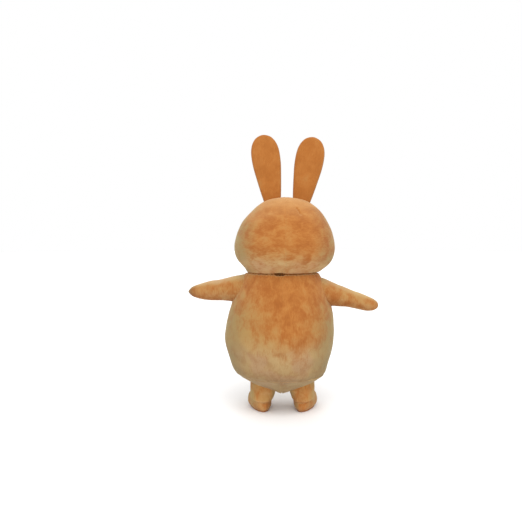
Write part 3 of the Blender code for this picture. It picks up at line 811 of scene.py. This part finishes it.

# How pale a piece is: overall from its brushed pile, and more where it turns down, up, aside or to the
# wearer's left, where it is low between two heights, and beside the deeper tongue down its middle, which is
# painted sheen and painted light. It has painted shade at the sides and underneath, and is darker low down
# and at the tips. Its lightness and its mottling are shares of the usual, and the marks of the brush run down
# it or across it.
NapSheen = namedtuple(
    "NapSheen",
    "overall down up aside leftward low low_heights tongue"
    " soiled_side soiled_under soiled_low soiled_tips lightness mottle brushed",
    defaults=(0.0, 0.0, 0.0, 0.0, 0.0, (0.0, -1.0), 0.0, 0.0, 0.0, 0.0, 0.0, 1.0, 1.0, "down"),
)

HEAD_NAP_SHEEN = NapSheen(0.02, down=0.52, aside=0.60, leftward=0.24, soiled_side=0.16, brushed="across")
BODY_NAP_SHEEN = NapSheen(
    0.02, down=0.10, aside=0.20, leftward=0.13, low=0.86, low_heights=(-0.46, -0.74), tongue=0.66,
    soiled_side=0.18, soiled_under=0.32, lightness=0.97,
)
SLEEVE_NAP_SHEEN = NapSheen(
    0.42, down=-0.30, up=0.70, aside=0.10, leftward=0.10,
    soiled_side=0.10, soiled_under=0.16, soiled_tips=0.30,
)
LEG_NAP_SHEEN = NapSheen(
    0.48, up=0.10, aside=0.30, leftward=0.08, low=-0.30, low_heights=(-1.035, -1.085),
    soiled_side=0.12, soiled_low=0.12, lightness=1.18,
)
EAR_NAP_SHEEN = NapSheen(
    -0.10, down=0.20, aside=0.20, leftward=0.02,
    soiled_side=0.10, soiled_under=0.10, lightness=0.96, mottle=0.5,
)

CLOUDS = Texture(4.5, 2, 0.5, 0.5)
PATCHES = Texture(14, 3.5, 0.52, 0.35)
STROKES = Texture(75, 4, 0.6, 0.3)
GRAIN = Texture(620, 3, 0.7, 0.0)
PATCH_STRETCH = {"down": (1.0, 1.0, 0.85), "across": (0.8, 0.8, 1.15)}
STROKE_STRETCH = {"down": (1.5, 1.5, 0.4), "across": (0.55, 0.55, 1.6)}

# The tongue's place and reach from side to side, and the heights over which it gives out downward
TONGUE_PLACE = -0.05
TONGUE_REACH = 0.36
TONGUE_HEIGHTS = (0.0, -0.44)
TIP_PLACES = (0.68, 0.80)

# Ranges of a value that are carried to the range from 0 to 1
DOWN_RANGE = (0.05, -0.65)
UP_RANGE = (0.40, 1.0)
ASIDE_RANGE = (0.35, 1.0)
PALE_RANGE = (-0.05, 1.0)
FLECK_RANGE = (0.40, 0.54)
PILE_RANGE = (0.35, 0.65)
ROSY_RANGE = (0.42, 0.58)
GRAIN_RANGE = (0.25, 0.75)

# Shares of the noises, in the order clouds, patches, strokes
BRUSHED_SHARES = (0.80, 1.20, 0.55)
TONE_SHARES = (0.16, 0.16, 0.15)
PILE_PATCHES = 0.7
FLECK_PATCHES = 0.6
FLECK_SHARE = 0.22
# How far the painted light on top shows.
LIT_TOP_SHARE = 0.9
GRAIN_TONES = (0.88, 1.08)

PLUSH_BUMP = 0.5
PLUSH_BUMP_HEIGHT = 0.0025
BUMP_SHARES = (0.45, 0.8, 1.2)
PLUSH_FINISH = {
    "Roughness": 0.95,
    "Specular IOR Level": 0.10,
    "Sheen Weight": 0.30,
    "Sheen Roughness": 0.5,
    "Sheen Tint": (0.78, 0.72, 0.52),
}

Pile = namedtuple("Pile", "clouds patches strokes down upward aside leftward low beside tips")


def plush_pile(tree, nap_sheen):
    """The plush's noises, and how each place turns and where it is, mostly from 0 to 1."""
    turned = tree.split(tree.coordinates("Normal"))
    spot = tree.split(tree.coordinates("Object"))
    down = tree.ranged(turned["Z"], *DOWN_RANGE)
    upward = tree.ranged(turned["Z"], *UP_RANGE)
    aside = tree.ranged(tree.math("ABSOLUTE", turned["X"]), *ASIDE_RANGE)
    low = tree.ranged(spot["Z"], *nap_sheen.low_heights, evenly=True)
    tips = tree.ranged(spot["X"], *TIP_PLACES)
    beside = 0.0
    if nap_sheen.tongue:
        off_middle = tree.math("ABSOLUTE", tree.math("SUBTRACT", spot["X"], TONGUE_PLACE))
        fade = tree.ranged(spot["Z"], *TONGUE_HEIGHTS)
        aside = tree.math("MULTIPLY", aside, fade)
        beside = tree.math("MULTIPLY", tree.ranged(off_middle, 0.0, TONGUE_REACH, evenly=True), fade)
    patches = tree.noise(PATCHES, PATCH_STRETCH[nap_sheen.brushed])
    strokes = tree.noise(STROKES, STROKE_STRETCH[nap_sheen.brushed])
    return Pile(tree.noise(CLOUDS), patches, strokes, down, upward, aside, turned["X"], low, beside, tips)


def plush_paleness(tree, nap_sheen, pile):
    """How pale the plush is, where 1 is wholly pale: its brushed pile, at random and overall, and painted
    sheen and light by which way each place faces, low down and beside the middle.
    """
    # Painted sheen and light: paler where the place turns down, up, aside or to the wearer's left, and low
    # down.
    turns = (
        (pile.down, nap_sheen.down),
        (pile.upward, nap_sheen.up),
        (pile.aside, nap_sheen.aside),
        (pile.leftward, nap_sheen.leftward),
        (pile.low, nap_sheen.low),
    )
    # Painted sheen and light by facing, low down and beside the middle, added to the brushed pile at random.
    pale_share = tree.weighed(*turns, *zip(pile[:3], BRUSHED_SHARES), (pile.beside, nap_sheen.tongue))
    pale_share = tree.math("ADD", pale_share, nap_sheen.overall - sum(BRUSHED_SHARES) / 2)
    flecks = tree.weighed((pile.patches, FLECK_PATCHES), (pile.strokes, 1 - FLECK_PATCHES))
    flecks = tree.ranged(flecks, *FLECK_RANGE, 1 - FLECK_SHARE, 1.0)
    return tree.math("MULTIPLY", tree.ranged(pale_share, *PALE_RANGE), flecks)


def plush_colour(tree, nap_sheen, pile, deep, middle, top):
    with_pile = tree.weighed((pile.patches, PILE_PATCHES), (pile.strokes, 1 - PILE_PATCHES))
    colour = tree.blend(tree.ranged(with_pile, *PILE_RANGE), deep, middle)
    # Painted light from above: the colour turns lighter where the place faces up.
    colour = tree.blend(tree.math("MULTIPLY", pile.upward, LIT_TOP_SHARE), colour, top)
    pale = tree.blend(tree.ranged(pile.clouds, *ROSY_RANGE), ROSY_TAN, PALE_TAN)
    # Painted sheen and light: pale or rosy where the place is low or turns down or up, khaki where it stands
    # upright.
    sloping = tree.weighed((pile.low, 1.0), (pile.down, 1.0), (pile.upward, 1.0))
    pale = tree.blend(sloping, KHAKI, pale)
    # Painted sheen and shade: duller tan where the place turns aside.
    pale = tree.blend(pile.aside, pale, SIDE_SHEEN_TAN)
    return tree.blend(plush_paleness(tree, nap_sheen, pile), colour, pale)


def plush_brightness(tree, nap_sheen, pile, grain):
    """The sparkle, slow changes of tone, painted shade at the sides and underneath, and darkening low down
    and at the tips, as one factor near 1.
    """
    sparkle = tree.ranged(grain, *GRAIN_RANGE, *(tone * nap_sheen.lightness for tone in GRAIN_TONES))
    shares = [share * nap_sheen.mottle for share in TONE_SHARES]
    # Painted shade: darker at the sides and where the place turns down. The low and tip terms only darken it
    # there.
    shade_and_darkening = tree.weighed(
        (pile.aside, -nap_sheen.soiled_side),
        (pile.down, -nap_sheen.soiled_under),
        (pile.low, -nap_sheen.soiled_low),
        (pile.tips, -nap_sheen.soiled_tips),
    )
    tones = tree.weighed(*zip(pile[:3], shares), (shade_and_darkening, 1.0))
    return tree.math("ADD", sparkle, tree.math("SUBTRACT", tones, sum(shares) / 2))


def plush(name, nap_sheen, deep=DEEP_TAN, middle=TAN, top=LIT_TOP_TAN):
    """Short-pile plush, mottled where hands have brushed it both ways along the pile, with painted sheen,
    light and shade by which way each place faces.
    """
    tree = Shading(name)
    pile = plush_pile(tree, nap_sheen)
    grain = tree.noise(GRAIN)
    colour = plush_colour(tree, nap_sheen, pile, deep, middle, top)
    colour = tree.tinted(colour, plush_brightness(tree, nap_sheen, pile, grain))
    height = tree.weighed(*zip((grain, pile.strokes, pile.patches), BUMP_SHARES))
    normal = tree.bump(height, PLUSH_BUMP, PLUSH_BUMP_HEIGHT)
    tree.shader({"Base Color": colour, "Normal": normal, **PLUSH_FINISH})
    return tree.material


Moulded = namedtuple("Moulded", "colour dark grain roughness bump_height coat")

EYE_BLACK = Moulded((0.008, 0.007, 0.006), (0.005, 0.004, 0.004), 300, 0.25, 0.00005, 0.12)
NOSE_BROWN = Moulded((0.070, 0.030, 0.018), (0.045, 0.019, 0.011), 900, 0.42, 0.0003, 0.0)
SOLE_TAN = Moulded((0.33, 0.14, 0.05), (0.26, 0.10, 0.035), 700, 0.75, 0.0006, 0.0)
TONE_COARSENESS = 12
TONE_RANGE = (0.35, 0.65)
ROUGHNESS_RANGE = (0.2, 0.8)
ROUGHNESS_SWING = 0.15
MOULDED_BUMP = 0.4
MOULDED_FINISH = {"Specular IOR Level": 0.3, "Coat Roughness": 0.05}


def moulded_material(name, kind):
    """A moulded part's finish: a slight change of tone, and a fine grain."""
    tree = Shading(name)
    tone = tree.noise(Texture(kind.grain / TONE_COARSENESS, 3, 0.55, 0.0))
    grain = tree.noise(Texture(kind.grain, 2, 0.55, 0.0))
    colour = tree.blend(tree.ranged(tone, *TONE_RANGE), kind.dark, kind.colour)
    smooth, rough = kind.roughness * (1 - ROUGHNESS_SWING), kind.roughness * (1 + ROUGHNESS_SWING)
    roughness = tree.ranged(grain, *ROUGHNESS_RANGE, smooth, rough)
    normal = tree.bump(grain, MOULDED_BUMP, kind.bump_height)
    tree.shader({"Base Color": colour, "Roughness": roughness, "Normal": normal})
    tree.shader({"Coat Weight": kind.coat, **MOULDED_FINISH})
    return tree.material


# The pieces

HEAD_QUARTERS = (
    ("head_back_left", 0),
    ("head_back_right", QUARTER),
    ("head_front_right", 2 * QUARTER),
    ("head_front_left", 3 * QUARTER),
)
BODY_PANELS = (
    ("body_back_left", 0, QUARTER, (1,)),
    ("body_back_right", QUARTER, 2 * QUARTER, (-1,)),
    ("body_front", 2 * QUARTER, 4 * QUARTER, (1, -1)),
)
SIDES = (("left", 1), ("right", -1))

# How finely the cloth is divided: its rows and its columns
HEAD_CLOTH = (130, 84)
COLLAR_SHARE = 0.12
COLLAR_CLOTH_ROWS = 50
BODY_CLOTH = (130, 80)
EAR_CLOTH = (90, 44)
SLEEVE_CLOTH = (90, 48)
SEAT_CLOTH = (26, 72)
LEG_CLOTH = (40, 96)
FOOT_CLOTH = (50, 96)
CUTTER_MESH = (60, 96)

LIFT_HEIGHT = 0.05
LIFT_ROW = 10
EAR_SINK = 0.004
EAR_EDGE_SHARE = 0.8
EAR_EDGE_REACH = 0.007
EAR_BLUNT = 0.02
ABOVE_LEG = 0.15


def make_head(material):
    line = head_line()
    rows, columns = HEAD_CLOTH
    roll_share = HEAD_WALL / 2 / np.hypot(np.diff(line[:, 0]), np.diff(line[:, 1])).sum()
    rings = spaced(line, 0, 1, roll_share + (1 - roll_share) * bunched(rows, SLIGHT_PULL))
    for node, first in HEAD_QUARTERS:
        cloth = round_cloth(rings, first, first + QUARTER, columns)
        points = cloth.points
        from_rim, from_crown = lengths(points, 0)
        lift_rim(points, from_rim, first + QUARTER * bunched(columns))
        fade = np.clip(from_crown / BLUNT, 0, 1)
        relief = dip(from_sides(points), HEAD_SEAM) * fade + lumps(points, HEAD_LUMPS) * fade
        relief += dip(from_rim, RIM_VALLEY) + ear_crease(points)
        sew(node, Cloth(points, cloth.out), relief, HEAD_WALL, material, first_roll=True)


def lift_rim(points, from_rim, angles):
    """Slides the rim up a little behind the neck, where a dark gap shows under it."""
    share = np.exp(-(((angles - RIM_LIFT_ANGLE) / RIM_LIFT_SPREAD) ** 2))
    slide = unit(points[LIFT_ROW] - points[0])
    points += slide * (RIM_LIFT * share[:, None]) * np.maximum(1 - from_rim / LIFT_HEIGHT, 0)[..., None]


def make_ears(material):
    head = whole_cloth(head_line())
    head_cutter = cutter_from("head_cutter", head.points - head.out * EAR_SINK)
    for ear in EARS:
        for facing, faces_back in (("back", True), ("front", False)):
            cloth = ear_cloth(ear, faces_back, *EAR_CLOTH)
            to_edge = np.minimum(from_sides(cloth.points), lengths(cloth.points, 0)[1])
            relief = LIMB_WALL * (1 - EAR_EDGE_SHARE * np.exp(-((to_edge / EAR_EDGE_REACH) ** 2)))
            relief += lumps(cloth.points, EAR_LUMPS, ear.side) * np.clip(to_edge / EAR_BLUNT, 0, 1)
            sew(f"ear_{ear.name}_{facing}", cloth, relief, 0.0, material, cut_by=[head_cutter])
    bpy.data.objects.remove(head_cutter)


def sleeve_cutter(name, side):
    """A solid sleeve and mitt, one seam gap larger all round than the sewn one."""
    rows, columns = SLEEVE_CLOTH
    sleeve = arm_cloth(ARMS[side][1], side, 0, 4 * QUARTER, rows, 2 * columns)
    swell = sleeve_relief(sleeve.points, side) + SEAM_GAP
    return cutter_from(f"sleeve_{name}", sleeve.points + sleeve.out * swell[..., None])


def make_body(material):
    rows, columns = BODY_CLOTH
    collar = np.linspace(0, COLLAR_SHARE, COLLAR_CLOTH_ROWS, endpoint=False)
    rings = spaced(body_line(), 0, 1, [*collar, *np.linspace(COLLAR_SHARE, 1, rows)])
    sleeves = {side: sleeve_cutter(name, side) for name, side in SIDES}
    for node, first, last, sides in BODY_PANELS:
        cloth = round_cloth(rings, first, last, round(columns * (last - first) / QUARTER))
        points = cloth.points
        from_bottom = lengths(points, 0)[1]
        relief = dip(from_sides(points), BODY_SEAM) + dip(from_bottom, BODY_TUCK)
        relief += lumps(points, BODY_LUMPS)
        for side in sides:
            distance, around = sleeve_distance(points, side)
            relief += armhole(distance) + armpit_folds(distance, around)
        relief += neck_puckers(points) + hem_gathers(points, from_bottom)
        sew(node, cloth, relief, BODY_WALL, material, cut_by=[sleeves[side] for side in sides])
    for sleeve in sleeves.values():
        bpy.data.objects.remove(sleeve)


def make_arms(material):
    hollow = whole_cloth(body_line())
    body = cutter_from("body_hollow", hollow.points - hollow.out * BODY_WALL)
    for side, (name, sections) in ARMS.items():
        for half, first in (("back", 0), ("front", 2 * QUARTER)):
            cloth = arm_cloth(sections, side, first, first + 2 * QUARTER, *SLEEVE_CLOTH)
            points = cloth.points
            fade = np.clip(lengths(points, 0)[1] / BLUNT, 0, 1)
            relief = dip(from_sides(points), SLEEVE_SEAM) * fade + sleeve_relief(points, side)
            sew(f"arm_{name}_{half}", cloth, relief, LIMB_WALL, material, cut_by=[body])
    bpy.data.objects.remove(body)


def make_seat_and_legs(seat_material, leg_material):
    for name, side in SIDES:
        leg = leg_cloth(side, *LEG_CLOTH)
        make_seat(name, side, leg, seat_material)
        relief = dip(from_sides(leg.points), LEG_SEAM) + dip(lengths(leg.points, 0)[1], LEG_HEM_VALLEY)
        relief += lumps(leg.points, LEG_LUMPS, side)
        sew(f"leg_{name}", leg, relief, LIMB_WALL, leg_material, closed=True, last_roll=True)


def make_seat(name, side, leg, material):
    """Half of the seat, cut by its leg, whose top end goes up inside it."""
    above = leg.points[:1] + [0, 0, ABOVE_LEG]
    hole = cutter_from(f"leg_hole_{name}", np.concatenate([above, leg.points]) + leg.out[:1] * SEAM_GAP)
    seat = seat_cloth(side, *SEAT_CLOTH)
    points = seat.points
    top = LEG_LEVELS[0]
    from_leg = np.hypot(points[:, :, 0] - side * top.centre_x, points[:, :, 1]) - top.radius
    below_body = BODY_RINGS[-1].height - ORIGIN_HEIGHT - points[:, :, 2]
    relief = dip(lengths(points, 0)[0], BODY_SEAM) + dip(below_body, SEAT_TUCK)
    relief += lumps(points, SEAT_LUMPS)
    relief += dip(np.maximum(from_leg, 0), LEG_HOLE_SEAM)
    relief += crotch_sag(points)
    sew(f"seat_{name}", seat, relief, BODY_WALL, material, closed=True, cut_by=[hole])
    bpy.data.objects.remove(hole)


def make_feet(material, sole_material):
    rows, columns = FOOT_CLOTH
    levels = spaced(foot_line(), 0, 3, np.linspace(0, 1, rows + 1))
    for name, side in SIDES:
        points = foot_points(side, levels, columns)
        out = grid_normals(points, True)
        middle = points[:, :-1].mean(axis=1, keepdims=True)
        out *= np.sign(((points - middle) * out).sum(axis=2, keepdims=True))
        out[0, :, 2] = 0
        from_sole = lengths(points, 0)[0]
        relief = dip(from_sides(points), LEG_SEAM) + dip(from_sole, SOLE_SEAM)
        relief += lumps(points, FOOT_LUMPS, side) * np.clip(from_sole / BLUNT, 0, 1)
        sew(f"foot_{name}", Cloth(points, out), relief, LIMB_WALL, material, closed=True)
        make_sole(name, side, sole_material)


SOLE_EDGE_STEPS = 9
SOLE_FLAT_SHARES = (0.35, 0.7)
SOLE_EDGE_SHARE = 0.7


def sole_levels():
    """The sole's levels: height, bulge of the rounded edge, and share of the outline."""
    half = SOLE_THICKNESS / 2
    turns = np.linspace(0, math.pi, SOLE_EDGE_STEPS)
    edge = [(half - half * math.cos(turn), half * math.sin(turn), 1.0) for turn in turns]
    under = [(0.0, 0.0, share) for share in SOLE_FLAT_SHARES]
    over = [(SOLE_THICKNESS, 0.0, share) for share in reversed(SOLE_FLAT_SHARES)]
    return [*under, *edge, *over]


def make_sole(name, side, material):
    """A flat sole with a softly rounded edge."""
    lowest = FOOT_LEVELS[0]
    levels = []
    for height, bulge, share in sole_levels():
        inset = SOLE_INSET + SOLE_EDGE_SHARE * (SOLE_THICKNESS / 2 - bulge)
        half_length = (lowest.half_length - inset) * share
        half_width = (lowest.half_width - inset) * share
        levels.append(FootLevel(height, lowest.centre, half_length, half_width, 0.0))
    piece_name = f"sole_{name}_rubber"
    mesh = solid_mesh(piece_name, foot_points(side, np.array(levels), FOOT_CLOTH[1]))
    place(piece_name, mesh, material, f"sole_{name}")


FACE_STEP = 0.05
DOME_SEGMENTS = 72
DOME_RINGS = 36


def face_place(angle, height):
    """Where the face is at an angle and a height, and the direction out of it."""
    line = head_line()
    i = int(np.argmin(np.abs(line[:, 0] - height)))
    points = round_cloth(line[i - 1 : i + 2], angle - FACE_STEP, angle + FACE_STEP, 2).points
    normal = np.cross(points[1, 2] - points[1, 0], points[2, 1] - points[0, 1])
    return Vector(points[1, 1]), Vector(normal).normalized()


def make_dome(node, angle, height, half_sizes, material):
    """A domed feature, let into the face a little."""
    middle, outward = face_place(angle, height)
    bm = bmesh.new()
    bmesh.ops.create_uvsphere(bm, u_segments=DOME_SEGMENTS, v_segments=DOME_RINGS, radius=1.0)
    bmesh.ops.scale(bm, vec=half_sizes, verts=bm.verts)
    turn = outward.to_track_quat("Z", "Y").to_matrix().to_4x4()
    turn.translation = middle
    bm.transform(turn)
    mesh = bpy.data.meshes.new(node)
    bm.to_mesh(mesh)
    bm.free()
    place(f"{node}_dome", mesh, material, node)


def make_features():
    """Two eyes and a small nose."""
    eye_black = moulded_material("eye_black", EYE_BLACK)
    nose_brown = moulded_material("nose_brown", NOSE_BROWN)
    for name, side in SIDES:
        angle = -QUARTER + side * EYE_ANGLE
        make_dome(f"eye_{name}", angle, EYE_HEIGHT, EYE_HALF_SIZES, eye_black)
    make_dome("nose", -QUARTER, NOSE_HEIGHT, NOSE_HALF_SIZES, nose_brown)


# Light, floor and camera

PHOTO_WIDTH = 522
PHOTO_FOCAL = 544
CAMERA_DISTANCE = 4.5
CAMERA_HEIGHT = 1.456
AXIS_PIXEL = 282.5
HORIZON_PIXEL = 233
SENSOR_WIDTH = 36.0

FLOOR_RADIUS = 40
FLOOR_SEGMENTS = 96
FLOOR_GAP = 0.0005
FLOOR_GREY = (0.86, 0.86, 0.86)
FLOOR_ROUGHNESS = 0.9
STUDIO_WHITE = (1.0, 1.0, 1.0, 1.0)

# Each sun's name, strength, spread and place
SUNS = (
    ("soft_key", 1.6, math.radians(40), (-0.3, 2.8, 4.2)),
    ("soft_fill", 0.4, math.radians(60), (0.6, -3.0, 3.0)),
)


def make_camera():
    """The photograph's camera: behind the wearer, level, with its axis off the middle."""
    data = bpy.data.cameras.new("camera")
    data.sensor_width = SENSOR_WIDTH
    data.lens = SENSOR_WIDTH * PHOTO_FOCAL / PHOTO_WIDTH
    data.shift_x = (PHOTO_WIDTH / 2 - AXIS_PIXEL) / PHOTO_WIDTH
    data.shift_y = (HORIZON_PIXEL - PHOTO_WIDTH / 2) / PHOTO_WIDTH
    camera = new_object("camera", data)
    camera.location = (0, CAMERA_DISTANCE, CAMERA_HEIGHT - ORIGIN_HEIGHT)
    camera.rotation_euler = (QUARTER, 0, 2 * QUARTER)
    bpy.context.scene.camera = camera


def make_sun(name, strength, spread, location):
    """A broad soft light that shines towards the origin."""
    data = bpy.data.lights.new(name, "SUN")
    data.energy = strength
    data.angle = spread
    light = new_object(name, data)
    light.location = location
    light.rotation_euler = (-light.location).to_track_quat("-Z", "Y").to_euler()


def make_floor():
    """A wide pale floor just under the soles, which isn't part of the object."""
    paint = Shading("studio_floor")
    paint.shader({"Base Color": FLOOR_GREY, "Roughness": FLOOR_ROUGHNESS})
    bm = bmesh.new()
    bmesh.ops.create_circle(bm, cap_ends=True, segments=FLOOR_SEGMENTS, radius=FLOOR_RADIUS)
    mesh = bpy.data.meshes.new("floor")
    bm.to_mesh(mesh)
    bm.free()
    mesh.materials.append(paint.material)
    floor = new_object("floor", mesh)
    floor.location.z = -ORIGIN_HEIGHT - FLOOR_GAP


def make_studio():
    world = bpy.data.worlds.new("studio")
    world.use_nodes = True
    background = world.node_tree.nodes["Background"]
    background.inputs["Color"].default_value = STUDIO_WHITE
    background.inputs["Strength"].default_value = 1.0
    bpy.context.scene.world = world
    bpy.context.scene.view_settings.view_transform = "Standard"
    make_floor()
    for sun in SUNS:
        make_sun(*sun)


def main():
    make_camera()
    make_studio()
    body_plush = plush("plush_body", BODY_NAP_SHEEN)
    leg_plush = plush("plush_legs", LEG_NAP_SHEEN)
    make_head(plush("plush_head", HEAD_NAP_SHEEN))
    make_ears(plush("ear_plush", EAR_NAP_SHEEN, EAR_DEEP, EAR_TAN, EAR_TAN))
    make_features()
    make_body(body_plush)
    make_arms(plush("plush_sleeves", SLEEVE_NAP_SHEEN))
    make_seat_and_legs(body_plush, leg_plush)
    make_feet(leg_plush, moulded_material("sole_tan", SOLE_TAN))


main()
